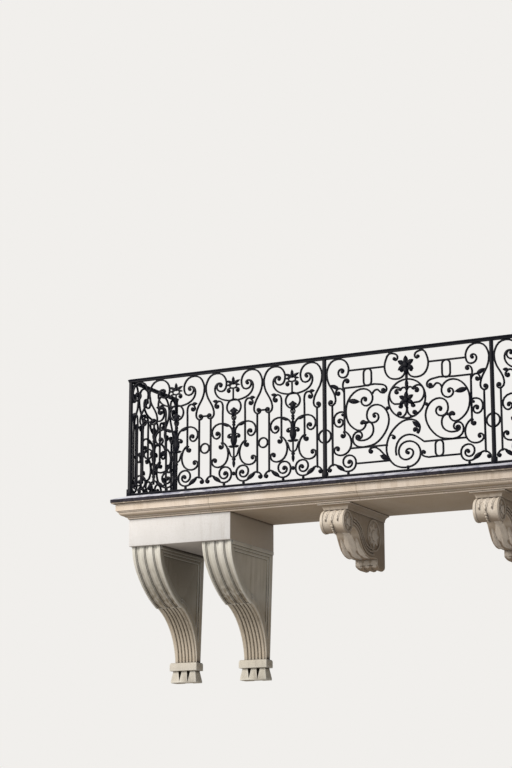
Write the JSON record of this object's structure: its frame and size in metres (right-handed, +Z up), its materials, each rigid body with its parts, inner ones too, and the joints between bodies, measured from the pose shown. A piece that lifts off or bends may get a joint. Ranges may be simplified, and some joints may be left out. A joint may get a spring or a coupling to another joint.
{
  "type": "wrought iron balcony on a stone slab with consoles",
  "caption": "Long wall balcony: moulded stone slab on carved scroll consoles, with a scrollwork iron railing on three sides and a metal flashing.",
  "frame": {"origin": "middle of the slab's back face, where it bears on the wall", "axes": "+Y into the wall, -Y towards the street, +X along the front to the right, +Z up"},
  "size_m": [5.286, 0.928, 2.526],
  "materials": {
    "limestone": "weathered, matt",
    "carved_stone": "weathered, streaked, matt",
    "lead_sheet": "dull grey sheet metal",
    "painted_iron": "black paint, satin"
  },
  "bodies": {
    "root": {"stone_slab": "limestone", "bearing_block_left": "limestone", "bearing_block_right": "limestone", "console_left_outer": "carved_stone", "console_left_inner": "carved_stone", "console_right_inner": "carved_stone", "console_right_outer": "carved_stone", "console_foot_left_outer": "carved_stone", "console_foot_left_inner": "carved_stone", "console_foot_right_inner": "carved_stone", "console_foot_right_outer": "carved_stone", "modillion_left": "carved_stone", "modillion_right": "carved_stone", "modillion_cap_left": "carved_stone", "modillion_cap_right": "carved_stone", "lead_flashing": "lead_sheet", "corner_post_left": "painted_iron", "corner_post_right": "painted_iron", "middle_post_left": "painted_iron", "middle_post_right": "painted_iron", "wall_post_left": "painted_iron", "wall_post_right": "painted_iron", "top_rail_front": "painted_iron", "top_rail_left": "painted_iron", "top_rail_right": "painted_iron", "bottom_rail_front": "painted_iron", "bottom_rail_left": "painted_iron", "bottom_rail_right": "painted_iron", "wide_scrolls_left": "painted_iron", "wide_scrolls_right": "painted_iron", "centre_medallion": "painted_iron", "snail_scroll": "painted_iron", "scroll_panel_left_1": "painted_iron", "scroll_panel_left_2": "painted_iron", "scroll_panel_left_3": "painted_iron", "scroll_panel_right_1": "painted_iron", "scroll_panel_right_2": "painted_iron", "scroll_panel_right_3": "painted_iron", "corner_strip_left": "painted_iron", "corner_strip_right": "painted_iron", "return_panel_left": "painted_iron", "return_panel_right": "painted_iron", "joint_rings": "painted_iron", "rosettes": "painted_iron", "medallion_flowers": "painted_iron"}
  },
  "joints": []
}
